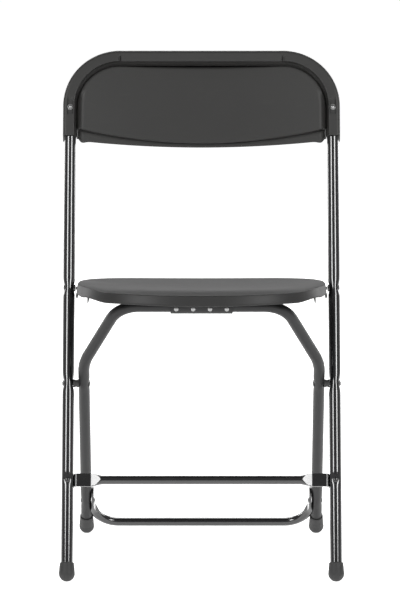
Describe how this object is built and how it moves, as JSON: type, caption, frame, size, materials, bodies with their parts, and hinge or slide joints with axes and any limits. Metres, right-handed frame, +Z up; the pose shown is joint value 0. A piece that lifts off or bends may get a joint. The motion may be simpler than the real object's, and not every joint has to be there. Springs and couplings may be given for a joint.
{
  "type": "folding chair",
  "caption": "Folding chair with a bent steel tube frame that closes like scissors, a dished moulded seat and a hollowed moulded backrest.",
  "frame": {"origin": "on the floor under the middle of the open chair's overall box", "axes": "+Z up; the chair faces -Y; +X to the right of someone who faces the chair from its front"},
  "size_m": [0.4462, 0.3958, 0.7994],
  "materials": {
    "frame_paint": "gloss black powder coat",
    "leg_paint": "gloss black powder coat",
    "rivet_paint": "black coated rivet",
    "rivet_steel": "zinc plated rivet",
    "bracket_steel": "black coated sheet steel",
    "back_plastic": "fine leather-like grain, satin",
    "seat_plastic": "fine grain, satin",
    "nylon": "smooth nylon",
    "rubber": "matte rubber"
  },
  "bodies": {
    "front_frame": {"front_frame_tube": "frame_paint", "backrest": "back_plastic", "backrest_rivet_left": "rivet_steel", "backrest_rivet_right": "rivet_steel", "front_crossbar": "frame_paint", "crossbar_rivet_left": "rivet_paint", "crossbar_rivet_right": "rivet_paint", "front_foot_left": "rubber", "front_foot_right": "rubber", "pivot_rivet_left": "rivet_paint", "pivot_rivet_right": "rivet_paint", "pivot_spacer_left": "nylon", "pivot_spacer_right": "nylon", "seat_pin_left": "rivet_paint", "seat_pin_right": "rivet_paint"},
    "rear_legs": {"rear_leg_frame": "leg_paint", "rear_brace": "frame_paint", "brace_rivet_left": "rivet_paint", "brace_rivet_right": "rivet_paint", "rear_foot_left": "rubber", "rear_foot_right": "rubber"},
    "seat_panel": {"seat": "seat_plastic", "hinge_strap": "bracket_steel", "hinge_liner": "nylon", "liner_rivets": "rivet_steel", "strap_rivets": "rivet_steel", "seat_rail_left": "bracket_steel", "seat_rail_right": "bracket_steel", "rail_rivets": "rivet_steel"},
    "glides": {"slide_glide_left": "nylon", "slide_glide_right": "nylon"}
  },
  "joints": [
    {"name": "fold", "type": "hinge", "parent": "front_frame", "child": "rear_legs", "pos_m": [0, -0.02144, 0.29206], "axis": [-1, 0, 0], "range_deg": [0, 55.03]},
    {"name": "seat_hinge", "type": "hinge", "parent": "rear_legs", "child": "seat_panel", "pos_m": [0, -0.12655, 0.43447], "axis": [-1, 0, 0], "range_deg": [0, 46.62]},
    {"name": "glide_slide", "type": "slide", "parent": "seat_panel", "child": "glides", "axis": [0, -0.9991, 0.0422], "range_m": [0, 0.13891]}
  ],
  "couplings": [
    {"joint": "seat_hinge", "follows": "fold", "ratio": 0.84626},
    {"joint": "glide_slide", "follows": "fold", "m_per_rad": 0.14442}
  ]
}
